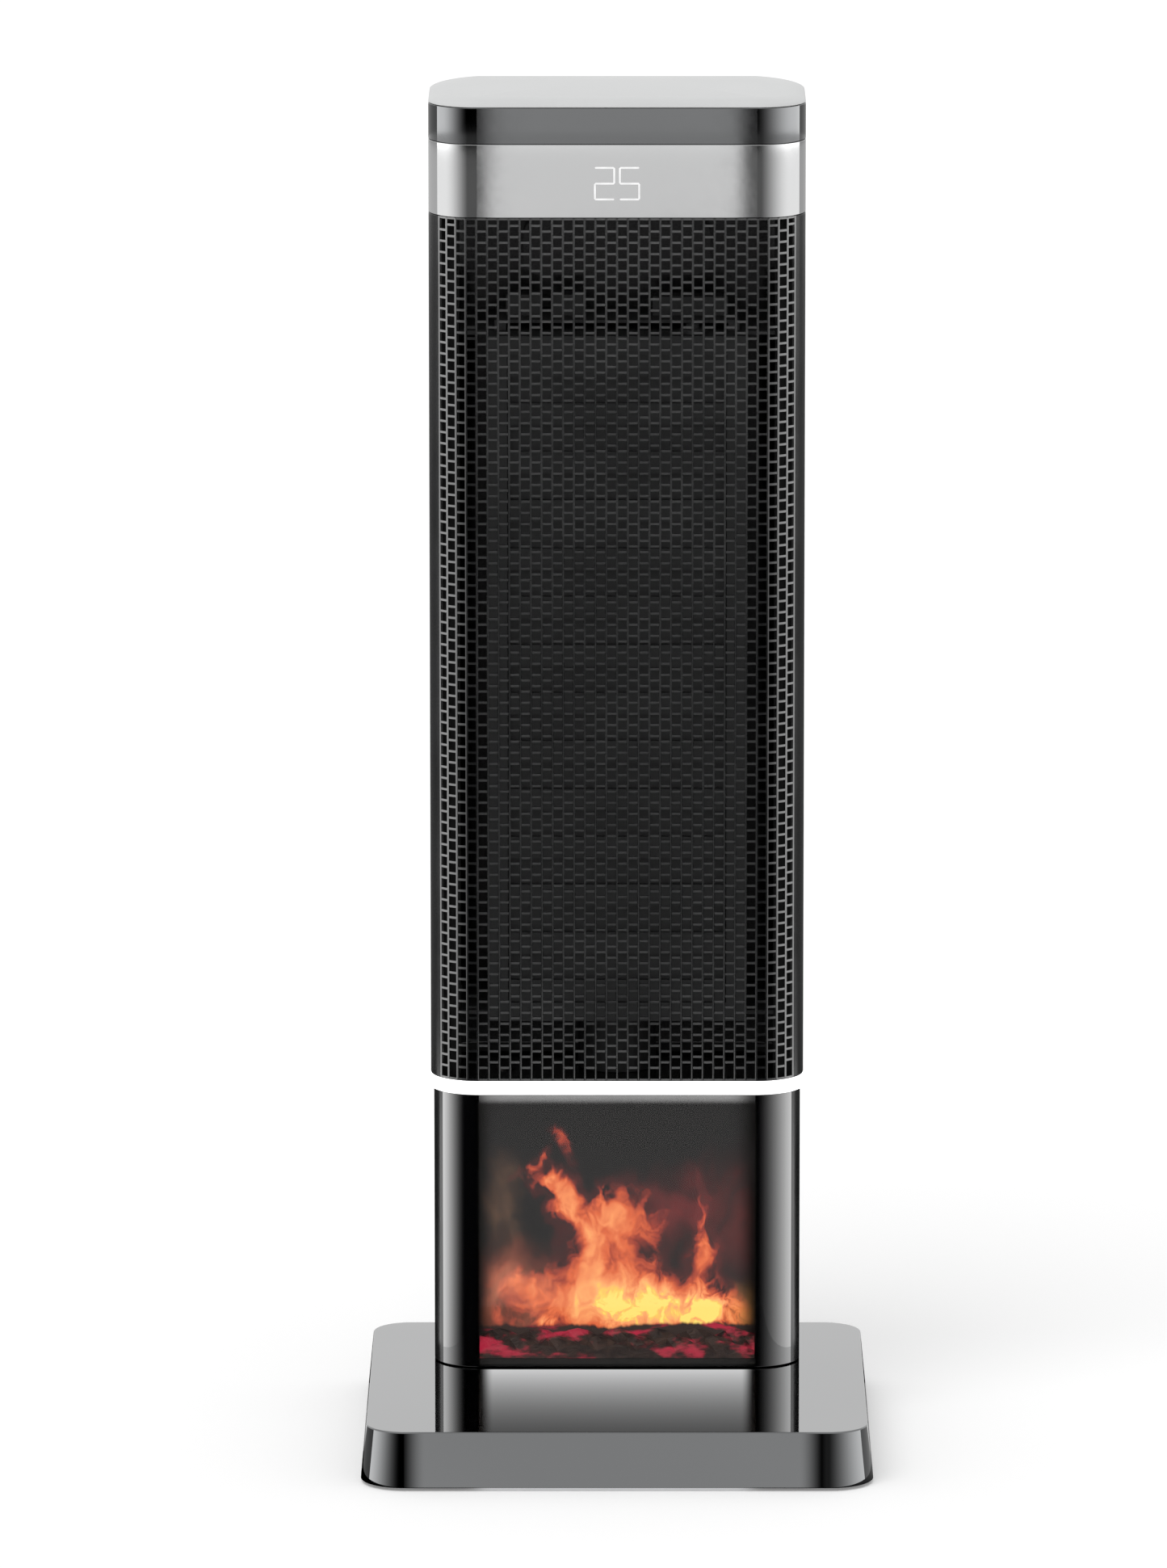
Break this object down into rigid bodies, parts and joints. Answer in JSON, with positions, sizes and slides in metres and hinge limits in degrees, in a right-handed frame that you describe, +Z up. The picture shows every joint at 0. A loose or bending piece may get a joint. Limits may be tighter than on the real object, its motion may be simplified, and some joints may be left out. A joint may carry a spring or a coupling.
{
  "type": "tower heater",
  "caption": "Slim swivelling tower heater with a flame picture window, a light ring, a brick-pattern air grille and a digit display, on a square base.",
  "frame": {"origin": "centre of the base's footprint, on the floor", "axes": "+Z up, -Y is the front with the window and grille, +X to the right of someone facing it"},
  "size_m": [0.271, 0.2564, 0.7217],
  "materials": {
    "smoked_gloss": "dark smoked chrome gloss",
    "silver_gloss": "bright silver gloss",
    "black_glass": "smoked gloss",
    "black_steel": "satin",
    "black_plastic": "fine grain",
    "light_satin": "light satin",
    "white_diffuser": "translucent, lit from behind",
    "white_plastic": "moulded",
    "rubber": "matte",
    "zinc_steel": "zinc plated",
    "aluminium": "mill finish",
    "brass": "machined",
    "circuit_board": "solder mask",
    "flame_print": "lit flame panel",
    "ember_resin": "lit ember resin",
    "red_plastic": "moulded"
  },
  "bodies": {
    "base": {"base_cover": "smoked_gloss", "base_plate": "zinc_steel", "foot_1": "rubber", "foot_2": "rubber", "foot_3": "rubber", "foot_4": "rubber", "ballast_plate": "zinc_steel", "tip_switch": "black_plastic", "cord_gland": "black_plastic", "swivel_bearing": "white_plastic", "swivel_motor": "zinc_steel"},
    "column": {"swivel_hub": "zinc_steel", "swivel_gear": "white_plastic", "column_floor": "black_plastic", "flame_window": "black_glass", "lower_rear_cover": "black_plastic", "switch_housing": "black_plastic", "flame_screen": "flame_print", "ember_bed": "ember_resin", "flame_led_board": "circuit_board", "spindle_bearing": "white_plastic", "spindle_motor": "zinc_steel", "mid_deck": "black_plastic", "light_ring": "white_diffuser", "light_board": "circuit_board", "front_grille": "black_steel", "rear_cover": "black_plastic", "handle_cup": "black_plastic", "upright_left": "zinc_steel", "upright_right": "zinc_steel", "blower_lower_plate": "zinc_steel", "blower_upper_plate": "zinc_steel", "blower_motor": "zinc_steel", "blower_top_bearing": "brass", "blower_scroll": "black_plastic", "blower_tongue": "black_plastic", "heater_frame": "white_plastic", "heater_core": "aluminium", "thermal_cutout": "zinc_steel", "top_deck": "black_plastic", "power_board": "circuit_board", "display_band": "silver_gloss", "display_module": "white_plastic", "top_band": "smoked_gloss", "touch_board": "circuit_board", "top_lid": "light_satin"},
    "blower": {"blower_shaft": "zinc_steel", "blower_wheel": "black_plastic"},
    "spindle": {"flame_spindle": "aluminium"},
    "pinion": {"swivel_pinion": "brass"},
    "plunger": {"tip_plunger": "white_plastic"},
    "rocker": {"power_rocker": "red_plastic"}
  },
  "joints": [
    {"name": "column_swivel", "type": "hinge", "parent": "base", "child": "column", "pos_m": [0, 0.0677, 0.0327], "axis": [0, 0, 1], "range_deg": [-35, 35]},
    {"name": "pinion_spin", "type": "hinge", "parent": "base", "child": "pinion", "pos_m": [0, 0.0317, 0.0207], "axis": [0, 0, 1], "range_deg": [-105, 105]},
    {"name": "blower_spin", "type": "hinge", "parent": "column", "child": "blower", "pos_m": [0, 0.0797, 0.2213], "axis": [0, 0, 1], "continuous": true},
    {"name": "spindle_spin", "type": "hinge", "parent": "column", "child": "spindle", "pos_m": [0, 0.06685, 0.1047], "axis": [1, 0, 0], "continuous": true},
    {"name": "rocker_tilt", "type": "hinge", "parent": "column", "child": "rocker", "pos_m": [-0.052, 0.11575, 0.0777], "axis": [-1, 0, 0], "range_deg": [0, 18]},
    {"name": "plunger_slide", "type": "slide", "parent": "base", "child": "plunger", "axis": [0, 0, -1], "range_m": [0, 0.005], "stiffness_N_per_m": 100, "springref_m": 0.005}
  ],
  "couplings": [
    {"joint": "pinion_spin", "follows": "column_swivel", "ratio": -3}
  ]
}
